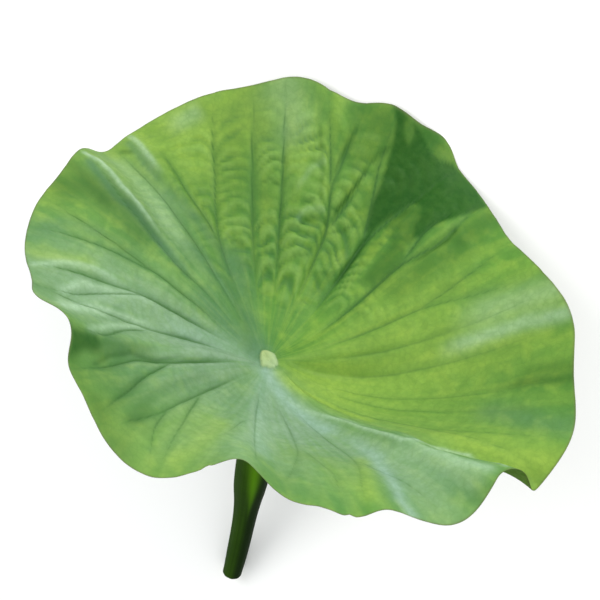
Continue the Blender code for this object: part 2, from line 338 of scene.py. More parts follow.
# Painted shadow: dark green fields where the folded lobes lie in shade, each with its strength and the
# softness of its edge in mm, and the painted light of the lit islands in them with their strength, as
# outlines in the same pixels.
PAINTED_SHADOW_FIELDS = (
    (
        1.0, 1.8, (393, 106), (397, 122), (394, 144), (386, 165), (379, 188), (373, 203), (366, 229),
        (375, 227), (389, 217), (405, 206), (413, 202), (421, 207), (418, 218), (413, 228), (412, 237),
        (420, 236), (429, 229), (439, 222), (451, 219), (468, 213), (486, 207), (489, 209), (476, 188),
        (463, 170), (453, 163), (442, 161), (433, 152), (427, 141), (419, 128), (404, 110),
    ),
    (
        0.45, 2.5, (404, 108), (419, 128), (427, 141), (433, 152), (442, 161), (458, 168), (452, 148),
        (432, 123),
    ),
    (
        0.4, 4.0, (345, 103), (364, 104), (384, 104), (396, 108), (397, 122), (394, 144), (388, 160),
        (372, 160), (352, 175), (340, 150), (350, 125),
    ),
    (
        0.5, 3.0, (405, 209), (413, 206), (420, 212), (414, 230), (407, 248), (402, 262), (388, 275),
        (372, 286), (360, 281), (374, 263), (388, 246), (392, 232), (396, 220),
    ),
    (0.95, 3.2, (66, 325), (82, 330), (97, 335), (102, 343), (98, 350), (84, 351), (68, 357)),
    (0.5, 5.5, (88, 332), (108, 336), (130, 341), (152, 349), (150, 353), (128, 353), (110, 354), (92, 354)),
)
PAINTED_LIGHT_ISLANDS = (
    (0.85, (361, 258), (367, 244), (375, 232), (384, 225), (390, 229), (387, 241), (375, 252)),
    (
        0.8, (405, 262), (410, 250), (418, 239), (428, 231), (440, 224), (451, 223), (448, 232), (438, 243),
        (422, 254),
    ),
    (0.4, (404, 136), (405, 122), (412, 120), (414, 136), (409, 148)),
)
ISLAND_SOFTNESS = 1.6

# Small nicks in the edge, as pixels of the photograph.
NICKS = ((207, 466), (350, 513))
NICK_DEPTH = 1.6
NICK_HALF_WIDTH = 0.7

# The stalk, in the blade's frame.
STALK_END = (14.0, -8.0, -208.5)
STALK_TOP_HANDLE = (0.0, 0.0, -25.0)
STALK_END_HANDLE = (14.0, 0.0, -120.0)
STALK_GAP = 0.3
STALK_RADII = (
    (0.0, 8.4), (0.08, 9.0), (0.3, 9.9), (0.5, 10.7), (0.6, 10.9), (0.66, 10.5), (0.7, 9.1), (0.75, 7.9),
    (0.81, 7.3), (0.9, 6.9), (0.95, 6.6), (1.0, 6.1),
)
STALK_SIDES = 64
STALK_RINGS = 96
SHARP_ANGLE = 40.0

# The air canals in the cut end: the ring's radius in mm, how many, their own radius in mm, and the first
# angle in radians.
AIR_CANALS = ((2.1, 2, 1.35, 0.3), (2.6, 2, 0.95, 1.87), (4.4, 8, 0.5, 0.2))
CANAL_DEPTH = 9.0

# Where the painted light wedge lies on the stalk, as a share of its radius to the right of its middle.
PAINTED_LIGHT_WEDGE_SIDE = 0.1

# The photograph: its side and the navel's place in pixels, millimetres per pixel at the navel, the camera's
# distance from the navel in mm, and the blade's own axis as the camera sees it (right, up, towards it).
PHOTO_SIDE = 600
PHOTO_NAVEL = (268, 360)
MM_PER_PIXEL = 0.58
CAMERA_DISTANCE = 1150.0
BLADE_AXIS_SEEN = (0.19, 0.65, 0.735)
SENSOR_WIDTH = 36.0

# The lights: the way to each with the camera's right, up and backward as axes, its distance and size in
# metres, its power in watts and its colour.
LIGHTS = {
    "key_light": ((0.62, 0.60, 0.52), 1.6, 0.4, 18.0, (1.0, 0.98, 0.93)),
    "fill_light": ((-0.58, 0.25, 0.78), 1.7, 1.0, 12.0, (1.0, 1.0, 1.0)),
}
LIGHT_TARGET = (0.0, -0.02, 0.1)
FLOOR_SIDE = 12.0
SKY_COLOUR = (0.97, 0.985, 1.0)
SKY_STRENGTH = 1.0

# Colours, as linear red, green and blue.
GREEN_COOL = (0.062, 0.195, 0.029)
GREEN_WARM = (0.120, 0.282, 0.038)
# Yellow-green, used for random tone and for the painted glow of light through the blade.
GREEN_YELLOW_AND_GLOW = (0.285, 0.435, 0.058)
# Painted light on the wrinkle crests, then painted shade in the valleys.
PAINTED_CREST_LIGHT_GREEN = (0.220, 0.390, 0.085)
PAINTED_HOLLOW_SHADE_GREEN = (0.045, 0.150, 0.035)
# Deep green, also the colour of the painted shadow and of the painted crease shade.
GREEN_DEEP_AND_SHADOW = (0.006, 0.072, 0.001)
GREEN_SPECKLE = (0.060, 0.175, 0.025)
# Wax bloom, partly a painted sheen of the sky.
WAX_BLOOM_AND_SHEEN = (0.230, 0.350, 0.240)
# Blue wax bloom, partly a painted sheen.
WAX_BLUE_AND_SHEEN = (0.290, 0.440, 0.370)
# The colour of the painted highlights.
PAINTED_HIGHLIGHT_PALE = (0.420, 0.600, 0.410)
# The colour of the painted shade on the waxy face.
PAINTED_SHADE_TEAL = (0.075, 0.175, 0.100)
# Dark vein green, partly painted shade in the vein grooves.
VEIN_AND_GROOVE_SHADE = (0.030, 0.105, 0.018)
MARGIN_COLOUR = (0.110, 0.095, 0.050)
BOSS_COOL = (0.320, 0.450, 0.230)
BOSS_WARM = (0.360, 0.460, 0.170)
UNDER_COOL = (0.048, 0.120, 0.008)
UNDER_WARM = (0.075, 0.160, 0.012)
RIB_COLOUR = (0.170, 0.250, 0.065)
# The stalk: dark green, also its painted shaded side; its painted lit side; and lighter green near the
# blade, also the painted light wedge.
STALK_DARK_AND_SHADE = (0.004, 0.014, 0.001)
STALK_LIT = (0.020, 0.055, 0.003)
STALK_UPPER_AND_PAINTED_LIGHT = (0.070, 0.190, 0.004)
FLESH_DARK = (0.30, 0.38, 0.16)
FLESH_PALE = (0.46, 0.50, 0.26)
GLOW_GREEN = (0.26, 0.52, 0.035)
# The light through the blade, dimmed where the painted shadow and the deep green lie.
GLOW_DEEP_AND_SHADOW = (0.02, 0.10, 0.004)
GLOW_UNDER = (0.10, 0.26, 0.01)
FLOOR_COLOUR = (0.9, 0.9, 0.89)
WAX_SHEEN = (0.8, 0.92, 1.0)
STALK_SHINE = (0.35, 0.6, 0.08)

# The colours laid over the upper face in turn, each by its field and its full strength: yellow-green that is
# partly painted glow, painted light on crests, painted shade in valleys, blue wax that is partly painted
# sheen, painted shade, painted highlights, and deep green that is partly painted shadow.
UPPER_COLOURS = (
    ("yellow_and_glow", 0.85, GREEN_YELLOW_AND_GLOW),
    ("painted_crest_light", 0.68, PAINTED_CREST_LIGHT_GREEN),
    ("painted_hollow_shade", 0.7, PAINTED_HOLLOW_SHADE_GREEN),
    ("blue", 0.8, WAX_BLUE_AND_SHEEN),
    ("shade", 0.85, PAINTED_SHADE_TEAL),
    ("pale", 0.75, PAINTED_HIGHLIGHT_PALE),
    ("deep", 0.92, GREEN_DEEP_AND_SHADOW),
)


# The blade's form.


def spline_round(stations, column):
    """A smooth closed curve through one column of a table whose first column is azimuth in degrees."""
    table = np.array(stations, float)
    angles, values = table[:, 0], table[:, column]
    steps = (np.roll(angles, -1) - angles) % TURN
    before = np.roll(steps, 1)
    count = len(angles)
    here = np.arange(count)
    matrix = np.diag(2 * (before + steps))
    matrix[here, here - 1] = before
    matrix[here - 1, here] = before
    slope = (np.roll(values, -1) - values) / steps
    bend = np.linalg.solve(matrix, 6 * (slope - np.roll(slope, 1)))
    starts = np.concatenate([[0.0], np.cumsum(steps[:-1])])

    def value(azimuth):
        along = (azimuth - angles[0]) % TURN
        i = np.searchsorted(starts, along, side="right") - 1
        j = (i + 1) % count
        width = steps[i]
        done = along - starts[i]
        left = width - done
        curved = (bend[i] * left**3 + bend[j] * done**3) / (6 * width)
        low = (values[i] / width - bend[i] * width / 6) * left
        high = (values[j] / width - bend[j] * width / 6) * done
        return curved + low + high

    return value


def bell(distance):
    """1 at no distance, and smoothly down to 0 past about 2."""
    return np.exp(-(distance**2))


def crease(distance):
    """A distance in mm with the sharp point at 0 rounded off."""
    return np.sqrt(distance**2 + CREASE_ROUNDING**2) - CREASE_ROUNDING


def ease(value, low, high):
    """0 below low, 1 above high, and smooth between."""
    t = np.clip((value - low) / (high - low), 0.0, 1.0)
    return t * t * (3 - 2 * t)


def turn_between(a, b):
    """The signed angle from b to a, in degrees."""
    return (a - b + 180.0) % TURN - 180.0


QUILT_SHARE = spline_round(QUILTING, 1)
RIM_REACH = spline_round(RIM, 1)
RIM_LIFT = spline_round(RIM, 2)
INNER_LIFT = spline_round(BOWL, 1)
MIDDLE_LIFT = spline_round(BOWL, 2)


def fold_lift(azimuth, share):
    """The height that the crests and creases add, in mm."""
    total = np.zeros_like(azimuth)
    for start_azimuth, edge_azimuth, height, half_width, start in FOLDS:
        line = start_azimuth + (edge_azimuth - start_azimuth) * ease(share, start, 1.0)
        across = turn_between(azimuth, line) / half_width
        along = ease(share, start, 0.75) * (1 - ease(share, 0.8, 1.1))
        total += height * along * bell(across)
    return total


def blade_lift(azimuth, share):
    """The lift in mm of the smooth upper face: share is 0 at the navel and 1 at the edge."""
    t = 3 * np.maximum(share - FLAT_SHARE, 0.0) / (1 - FLAT_SHARE)
    inner = INNER_LIFT(azimuth) * t * (t - 2) * (t - 3) / 2
    middle = MIDDLE_LIFT(azimuth) * t * (t - 1) * (3 - t) / 2
    outer = RIM_LIFT(azimuth) * t * (t - 1) * (t - 2) / 6
    return inner + middle + outer + fold_lift(azimuth, share)


def soft_noise(azimuth, share, size, seed):
    """Smooth noise over the blade, from about -1 to 1, with lumps of that size in mm."""
    lattice = np.random.default_rng(seed).uniform(-1.0, 1.0, (LATTICE, LATTICE))
    reach = share * MEAN_REACH / size
    angle = np.radians(azimuth)
    x = reach * np.cos(angle) + LATTICE / 2
    y = reach * np.sin(angle) + LATTICE / 2
    column, row = np.floor(x).astype(int), np.floor(y).astype(int)
    across, up = x - column, y - row
    across = across * across * (3 - 2 * across)
    up = up * up * (3 - 2 * up)
    left, right = column % LATTICE, (column + 1) % LATTICE
    low, high = row % LATTICE, (row + 1) % LATTICE
    near = lattice[low, left] * (1 - across) + lattice[low, right] * across
    far = lattice[high, left] * (1 - across) + lattice[high, right] * across
    return near * (1 - up) + far * up


def vein_path(line):
    """A vein's azimuth at each share of the way out, with its corners rounded."""
    dense = np.linspace(-0.1, 1.1, 241)
    path = np.interp(dense, *zip(*line))
    window = np.exp(-(np.linspace(-2, 2, 31) ** 2))
    padded = np.pad(path, 15, mode="edge")
    smooth = np.convolve(padded, window / window.sum(), mode="valid")
    return lambda share: np.interp(share, dense, smooth)


VEIN_PATHS = [vein_path(line) for line in VEINS]


def vein_crossings(azimuth, share):
    """For each vein, how far in mm each point is across from it, and how strong the vein is there."""
    arc = np.radians(1.0) * share * RIM_REACH(azimuth)
    for line, path in zip(VEINS, VEIN_PATHS):
        start, end = line[0][0], line[-1][0]
        strength = ease(share, start - 0.02, start + 0.06)
        if end < 1.0:
            strength = strength * (1 - ease(share, end - 0.12, end + 0.02))
        yield turn_between(azimuth, path(share)) * arc, strength


def vein_fields(azimuth, share):
    """How near each point is to a vein, as a thin line and as a sharp-bottomed valley, from 0 to 1."""
    thin = np.zeros_like(azimuth)
    open_ground = np.ones_like(azimuth)
    half_width = VEIN_HALF_WIDTH * (1.25 - 0.5 * share)
    broad = PILLOW_HALF_WIDTH * (0.4 + 0.8 * share)
    for across, strength in vein_crossings(azimuth, share):
        strength = strength * (1 - 0.5 * ease(share, 0.8, 1.0))
        thin = np.maximum(thin, strength * bell(across / half_width))
        open_ground *= 1 - strength * np.exp(-crease(across) / broad)
    return thin, 1 - open_ground


def wrinkle_lift(azimuth, share, valley):
    """Short arched wrinkles across the strips between the veins, and how strong they may be, in mm.

    They are strongest on the far side of the blade.
    """
    strip = np.zeros_like(azimuth)
    for line, path in zip(VEINS, VEIN_PATHS):
        if line[0][0] < 0.1:
            strip += azimuth > path(share)
    where = 0.85 * bell(turn_between(azimuth, FAR_SIDE) / WRINKLES_ROUND) + 0.15
    along = ease(share, 0.2, 0.42) * (1 - ease(share, 0.78, 0.98))
    bend = soft_noise(azimuth, share, 22.0, 31) + 0.32 * soft_noise(azimuth, share, 8.0, 43)
    patchy = np.clip(0.8 + 0.9 * soft_noise(azimuth, share, 11.0, 87), 0.1, 1.35)
    reach = share * RIM_REACH(azimuth) + WRINKLE_ARCH * valley
    phase = (reach / WRINKLE_SPACING + 0.41 * strip + bend) * math.tau
    wave = np.sin(phase) + 0.35 * np.sin(2 * phase + 0.9)
    envelope = WRINKLE_HEIGHT * where * along
    return envelope * patchy * (1 - valley) * wave, envelope


def boss_lift(azimuth, share):
    """The low boss at the navel, split by a slanting groove."""
    angle = np.radians(azimuth)
    reach = share * MEAN_REACH
    outline = BOSS_RADIUS * (1 - 0.13 * np.cos(2 * angle) + 0.04 * np.cos(3 * angle + 0.6))
    dome = BOSS_HEIGHT * (1 - ease(reach / outline, 0.72, 1.08))
    across = reach * np.cos(angle - np.radians(BOSS_SPLIT_AZIMUTH))
    split = 0.9 * bell((across - 0.3) / 0.8) * (1 - ease(reach / outline, 0.5, 0.95))
    moat = 0.5 * bell((reach - outline - 1.2) / 1.1)
    return dome - split - moat, outline / reach.clip(0.01)


def blade_height(azimuth, share, under):
    """The lift in mm of the blade with all its relief, its vein field, and fields of painted shade and
    light.
    """
    thin, valley = vein_fields(azimuth, share)
    quilting = QUILT_SHARE(azimuth)
    rim_fade = 1 - 0.65 * ease(share, 0.78, 1.0)
    far_side = bell(turn_between(azimuth, FAR_SIDE) / BUBBLES_ROUND)
    outward = ease(share, 0.1 + 0.12 * far_side, 0.4 + 0.2 * far_side)
    pillow = PILLOW_HEIGHT * quilting * outward * rim_fade * (0.5 - valley)
    groove = -VEIN_GROOVE * quilting * outward * rim_fade * thin
    wave = WAVE_HEIGHT * ease(share, 0.2, 0.6) * soft_noise(azimuth, share, 21.0, 53)
    fine = FINE_HEIGHT * ease(share, 0.15, 0.3) * soft_noise(azimuth, share, 5.5, 17)
    bubbles = far_side * ease(share, 0.2, 0.45) * soft_noise(azimuth, share, 10.5, 71) * (1 - valley)
    wrinkle, envelope = wrinkle_lift(azimuth, share, valley)
    lift = blade_lift(azimuth, share) + boss_lift(azimuth, share)[0]
    lift += pillow + groove + wave + fine + BUBBLE_HEIGHT * rim_fade * bubbles
    lift += wrinkle * np.where(under, UNDER_WRINKLE_SHARE, 1.0)
    lift -= np.where(under, UNDER_EXTRA_DEPTH / WRINKLE_HEIGHT, 0.0) * envelope
    relief = wrinkle / WRINKLE_HEIGHT + 0.7 * bubbles
    # Painted shade darkens the valleys between the veins, and painted light lightens the wrinkle crests.
    fields = {
        "vein": thin * (0.2 + 0.8 * outward) * ease(share, 0.06, 0.2) * (0.4 + 0.6 * quilting),
        "painted_hollow_shade": np.clip(quilting * outward * valley**2 - 0.9 * relief, 0.0, 1.0),
        "painted_crest_light": np.clip(1.3 * relief, 0.0, 1.0),
    }
    return lift, fields


def patch_field(patches, azimuth, share):
    """The strength of overlapping soft patches, from 0 to 1."""
    clear = np.ones_like(azimuth)
    for centre_azimuth, centre_share, half_width, half_length, strength in patches:
        across = turn_between(azimuth, centre_azimuth) / half_width
        along = (share - centre_share) / half_length
        clear *= 1 - strength * bell(across) * bell(along)
    return 1 - clear


def spoke(azimuth, along):
    """A unit vector at each azimuth in degrees, with how far along a piece it is as its third part."""
    angle = np.radians(azimuth)
    return np.column_stack([np.cos(angle), np.sin(angle), along])


def flat_place(azimuth, share):
    """Where a point of the blade is, in mm, seen along the stalk's line."""
    return spoke(azimuth, share)[:, :2] * (share * RIM_REACH(azimuth))[:, None]


def camera_axes():
    """The camera's right, up and backward axes in the blade's own frame."""
    towards = Vector(BLADE_AXIS_SEEN).normalized()
    across = (Vector((1, 0, 0)) - towards * towards.x).normalized()
    return Matrix((across, towards.cross(across), towards))


def camera_offset():
    """The camera's place in its own axes, in mm from the navel."""
    right = (PHOTO_SIDE / 2 - PHOTO_NAVEL[0]) * MM_PER_PIXEL
    up = (PHOTO_NAVEL[1] - PHOTO_SIDE / 2) * MM_PER_PIXEL
    return Vector((right, up, CAMERA_DISTANCE))


def make_photo_finder():
    """A function that gives the flat places in mm of the points of the blade behind a line of pixels."""
    azimuth, share = np.meshgrid(np.arange(0.0, TURN, 0.5), np.linspace(0.05, 1.0, 160))
    azimuth, share = azimuth.ravel(), share.ravel()
    flat = flat_place(azimuth, share)
    seen = np.column_stack([flat, blade_lift(azimuth, share)]) @ np.array(camera_axes())
    offset = np.array(camera_offset())
    away = (offset[2] - seen[:, 2]) / CAMERA_DISTANCE * MM_PER_PIXEL
    columns = PHOTO_SIDE / 2 + (seen[:, 0] - offset[0]) / away
    rows = PHOTO_SIDE / 2 - (seen[:, 1] - offset[1]) / away

    def find(pixel):
        miss = np.hypot(columns - pixel[0], rows - pixel[1])
        near = miss < miss.min() + 0.7
        return flat[near][np.argmax(seen[near, 2])]

    return lambda line: np.array([find(pixel) for pixel in line])


def distance_to_line(places, line):
    """How far each place is from a line of points, in mm, and how far along it, from 0 at its start to 1."""
    nearest = np.full(len(places), np.inf)
    share_along = np.zeros(len(places))
    for number, (start, end) in enumerate(zip(line[:-1], line[1:])):
        way = end - start
        along = np.clip(((places - start) @ way) / max(way @ way, 1e-9), 0.0, 1.0)
        gap = places - start - along[:, None] * way
        distance = np.hypot(gap[:, 0], gap[:, 1])
        share_along = np.where(distance < nearest, (number + along) / (len(line) - 1), share_along)
        nearest = np.minimum(nearest, distance)
    return nearest, share_along


def inside_outline(places, outline, softness):
    """1 inside a closed outline, 0 outside, and smooth across its edge."""
    edge = distance_to_line(places, np.vstack([outline, outline[:1]]))[0]
    inside = np.zeros(len(places), bool)
    for (x0, y0), (x1, y1) in zip(outline, np.roll(outline, -1, axis=0)):
        crosses = (y0 > places[:, 1]) != (y1 > places[:, 1])
        height = np.where(y1 == y0, 1e-9, y1 - y0)
        inside ^= crosses & (places[:, 0] < (x1 - x0) * (places[:, 1] - y0) / height + x0)
    return ease(np.where(inside, edge, -edge), -softness, softness)


def mark_fields(azimuth, share):
    """The colour fields of the traced marks, by name, and the lift in mm that they add."""
    trace = make_photo_finder()
    places = flat_place(azimuth, share)
    clear = {name: np.ones(len(places)) for name in MARKS}
    lift = np.zeros(len(places))
    inner = 1 - ease(share, 0.93, 1.0)
    rows = [(name, *row) for name, group in MARKS.items() for row in group]
    for name, strength, height, half_width, *line in rows:
        distance, along = distance_to_line(places, trace(line))
        taper = ease(along, 0.0, 0.4) if height or name == "pale" else 1.0
        clear[name] *= 1 - strength * taper * bell(distance / half_width)
        lift += height * taper * np.exp(-crease(distance) / half_width) * inner
    # Painted shadow: the dark fields darken the green and take the painted highlights out.
    for strength, softness, *outline in PAINTED_SHADOW_FIELDS:
        field = strength * inside_outline(places, trace(outline), softness)
        clear["deep"] *= 1 - field
        clear["pale"] = 1 - (1 - clear["pale"]) * (1 - 0.8 * field)
    fields = {name: 1 - value for name, value in clear.items()}
    # Painted light: the lit islands take part of the painted shadow out again.
    for strength, *outline in PAINTED_LIGHT_ISLANDS:
        fields["deep"] *= 1 - strength * inside_outline(places, trace(outline), ISLAND_SOFTNESS)
    return fields, lift


def nick_depth(azimuth, share):
    """How far the small nicks cut into the edge, in mm."""
    depth = np.zeros_like(azimuth)
    for x, y in make_photo_finder()(NICKS):
        across = turn_between(azimuth, math.degrees(math.atan2(y, x))) / NICK_HALF_WIDTH
        depth += NICK_DEPTH * bell(across) * ease(share, 0.96, 1.0)
    return depth


def leaf_matrix():
    """From the blade's own frame in mm to the row's frame in metres."""
    matrix = Matrix.Translation(Vector(NAVEL_AT) * MM)
    for angle, axis in ((REST_HEADING, "Z"), (REST_TILT, "X"), (REST_ROLL, "Y")):
        matrix = matrix @ Matrix.Rotation(math.radians(angle), 4, axis)
    return matrix @ Matrix.Scale(MM, 4)


LEAF = leaf_matrix()


def to_row_frame(points):
    """Points in mm of the blade's frame, as an array in metres of the row's frame."""
    matrix = np.array(LEAF)
    return points @ matrix[:3, :3].T + matrix[:3, 3]


# Helpers for modelling.


def deselect_all():
    for obj in bpy.data.objects:
        obj.select_set(False)


def work_on(obj):
    deselect_all()
    obj.select_set(True)
    bpy.context.view_layer.objects.active = obj


def edit_mode():
    bpy.ops.object.mode_set(mode="EDIT")


def object_mode():
    bpy.ops.object.mode_set(mode="OBJECT")


def pick_edges(obj, wanted):
    """Selects the edges of an object that are wanted, and leaves it in edit mode."""
    edit_mode()
    bpy.ops.mesh.select_mode(type="EDGE")
    bpy.ops.mesh.select_all(action="DESELECT")
    object_mode()
    for edge in obj.data.edges:
        edge.select = wanted(edge.vertices)
    edit_mode()


def coordinates(mesh):
    places = np.empty(len(mesh.vertices) * 3)
    mesh.vertices.foreach_get("co", places)
    return places.reshape(-1, 3)


def set_coordinates(mesh, places):
    mesh.vertices.foreach_set("co", np.ascontiguousarray(places, float).ravel())
    mesh.update()


def write_layer(mesh, name, values):
    """Keeps a value or a vector for each point of a mesh, by name."""
    kind, field = ("FLOAT", "value") if values.ndim == 1 else ("FLOAT_VECTOR", "vector")
    layer = mesh.attributes.new(name, kind, "POINT")
    layer.data.foreach_set(field, np.ascontiguousarray(values, np.float32).ravel())


# The blade.


def ring_shares(step):
    """The shares of the way out of the rings between the navel and the edge, with that step in mm."""
    return list(np.linspace(FLAT_SHARE, LAST_RING, round((MEAN_REACH - NAVEL_RADIUS) / step)))


def spin_lens():
    """A thin lens of unit radius, spun from its section: its upper half becomes the upper face."""
    over = [reach / MEAN_REACH for reach in BOSS_RINGS] + ring_shares(RING_STEP)
    under = ring_shares(UNDER_STEP)[::-1] + [PLATE_RING, 0.0]
    section = [(share, 0.0, LENS_HALF) for share in over] + [(1.0, 0.0, 0.0)]
    section += [(share, 0.0, -LENS_HALF) for share in under]
    deselect_all()
    bpy.ops.mesh.primitive_circle_add(vertices=len(section), radius=1.0, fill_type="NOTHING")
    lens = bpy.context.active_object
    set_coordinates(lens.data, np.array(section))
    pick_edges(lens, lambda ends: set(ends) == {0, len(section) - 1})
    bpy.ops.mesh.delete(type="EDGE")
    bpy.ops.mesh.select_mode(type="VERT")
    bpy.ops.mesh.select_all(action="SELECT")
    bpy.ops.mesh.spin(steps=COLUMNS, angle=math.tau, center=(0, 0, 0), axis=(0, 0, 1))
    bpy.ops.mesh.select_all(action="SELECT")
    bpy.ops.mesh.remove_doubles(threshold=1e-5)
    bpy.ops.mesh.normals_make_consistent(inside=False)
    object_mode()
    return lens


def rib_depth(azimuth, share):
    """How far the rounded ribs stand out below the blade, in mm."""
    ridge = np.zeros_like(azimuth)
    half_width = 2.4 - 1.5 * share
    for across, strength in vein_crossings(azimuth, share):
        round_rib = np.sqrt(np.clip(1 - (across / (1.5 * half_width)) ** 2, 0.0, 1.0))
        ridge = np.maximum(ridge, strength * round_rib)
    plate = 1 - ease(share, 0.065, 0.15)
    return RIB_DEPTH * np.maximum(plate, ridge * (1 - share) ** 0.7), ridge


def blade_surface(azimuth, share, under):
    """Points in mm of the blade before it gets its thickness, and its colour fields."""
    lift, fields = blade_height(azimuth, share, under)
    marks, mark_lift = mark_fields(azimuth, share)
    flat = flat_place(azimuth, share)
    flat *= 1 - (nick_depth(azimuth, share) / RIM_REACH(azimuth))[:, None]
    return np.column_stack([flat, lift + mark_lift]), {**fields, **marks}


def smooth_normals(azimuth, share):
    """Unit normals of the smooth upper face."""

    def place(a, s):
        return np.column_stack([flat_place(a, s), blade_lift(a, s)])

    inner = np.maximum(share, FLAT_SHARE)
    along = place(azimuth, inner + 0.004) - place(azimuth, inner - 0.004)
    around = place(azimuth + 0.4, inner) - place(azimuth - 0.4, inner)
    normals = np.cross(along, around)
    return normals / np.linalg.norm(normals, axis=1, keepdims=True)


def make_blade():
    """The blade with its navel, veins and ribs, which grew as one piece."""
    blade = spin_lens()
    blade.name = blade.data.name = "lotus_blade"
    lens = coordinates(blade.data)
    share = np.minimum(np.hypot(lens[:, 0], lens[:, 1]), 1.0)
    azimuth = np.degrees(np.arctan2(lens[:, 1], lens[:, 0])) % TURN
    under = lens[:, 2] < -LENS_HALF / 2
    edge = np.abs(lens[:, 2]) < LENS_HALF / 2
    places, fields = blade_surface(azimuth, share, under)
    ribs, ridge = rib_depth(azimuth, share)
    depth = BLADE_THICKNESS * (1 - EDGE_THINNING * ease(share, 0.85, 1.0)) + ribs
    depth = np.where(under, depth, np.where(edge, 0.5 * depth, 0.0))
    places -= smooth_normals(azimuth, share) * depth[:, None]
    set_coordinates(blade.data, to_row_frame(places))
    # Yellow-green that is partly the painted glow of light through the blade, and wax bloom that is partly a
    # painted sheen.
    fields["yellow_and_glow"] = np.maximum(fields["yellow_and_glow"], patch_field(YELLOW_AND_GLOW_PATCHES, azimuth, share))
    fields["deep"] = np.maximum(fields["deep"], patch_field(DEEP_PATCHES, azimuth, share))
    fields["bloom_and_sheen"] = patch_field(WAX_BLOOM_AND_SHEEN_PATCHES, azimuth, share)
    fields["vein"] = np.where(under, ridge, fields["vein"])
    fields["share"] = share
    fields["boss"] = ease(boss_lift(azimuth, share)[1], 0.96, 1.12)
    fields["spoke"] = spoke(azimuth, share)
    for name, values in fields.items():
        write_layer(blade.data, name, values)
    blade.data.shade_smooth()
    blade.data.materials.append(upper_material())
    blade.data.materials.append(under_material())
    below = [under[list(face.vertices)].any() for face in blade.data.polygons]
    blade.data.polygons.foreach_set("material_index", np.array(below, np.int32))
    blade.data.update()
    return blade


# The stalk.


def stalk_frame(along):
    """A point of the stalk's line in mm, and its way, on a curve that leaves the navel straight down."""
    top = (0.0, 0.0, -(BLADE_THICKNESS + RIB_DEPTH + STALK_GAP))
    a, b, c, d = (Vector(point) for point in (top, STALK_TOP_HANDLE, STALK_END_HANDLE, STALK_END))
    back = 1 - along
    place = a * back**3 + b * 3 * along * back**2 + c * 3 * along**2 * back + d * along**3
    way = (b - a) * 3 * back**2 + (c - b) * 6 * along * back + (d - c) * 3 * along**2
    return place, way.normalized()


def make_canal(number, centre, way, radius):
    """A round rod that bores one air canal into the cut end."""
    deselect_all()
    bpy.ops.mesh.primitive_cylinder_add(vertices=20, radius=radius, depth=2 * CANAL_DEPTH)
    rod = bpy.context.active_object
    turn = Vector((0, 0, 1)).rotation_difference(way)
    places = np.array([turn @ vertex.co + centre for vertex in rod.data.vertices])
    set_coordinates(rod.data, to_row_frame(places))
    rod.name = f"canal_rod_{number}"
    return rod


def bore_canals(stalk):
    """Bores the ring of air canals into the stalk's cut end."""
    centre, way = stalk_frame(1.0)
    turn = Vector((0, 0, 1)).rotation_difference(way)
    rods = []
    for ring, count, radius, first_angle in AIR_CANALS:
        for number in range(count):
            angle = first_angle + number * math.tau / count
            across = turn @ Vector((ring * math.cos(angle), ring * math.sin(angle), 0.0))
            rods.append(make_canal(len(rods), centre + across, way, radius))
    work_on(rods[0])
    for rod in rods:
        rod.select_set(True)
    bpy.ops.object.join()
    rods[0].data.materials.append(stalk.data.materials[1])
    work_on(stalk)
    cut = stalk.modifiers.new("canals", "BOOLEAN")
    cut.operation = "DIFFERENCE"
    cut.solver = "EXACT"
    cut.object = rods[0]
    bpy.ops.object.modifier_apply(modifier=cut.name)
    bpy.data.objects.remove(rods[0], do_unlink=True)


def stalk_fields(azimuth, along):
    """The stalk's own coordinates, painted light on its left and shade on its right, and a painted light
    wedge.
    """
    right, _, towards = np.array(camera_axes()).T
    out = spoke(azimuth, np.zeros_like(along))
    seen_right, seen_towards = out @ right, out @ towards
    width = 0.1 + 0.3 * (1 - ease(along, 0.5, 0.76))
    painted_light_wedge = bell((seen_right - PAINTED_LIGHT_WEDGE_SIDE) / width) * (seen_towards > 0)
    return {
        "along": along,
        "spoke": spoke(azimuth, along),
        "side": 1 - ease(seen_right, -0.35, 0.35),
        "painted_light_wedge": painted_light_wedge * (1 - ease(along, 0.6, 0.78)),
    }


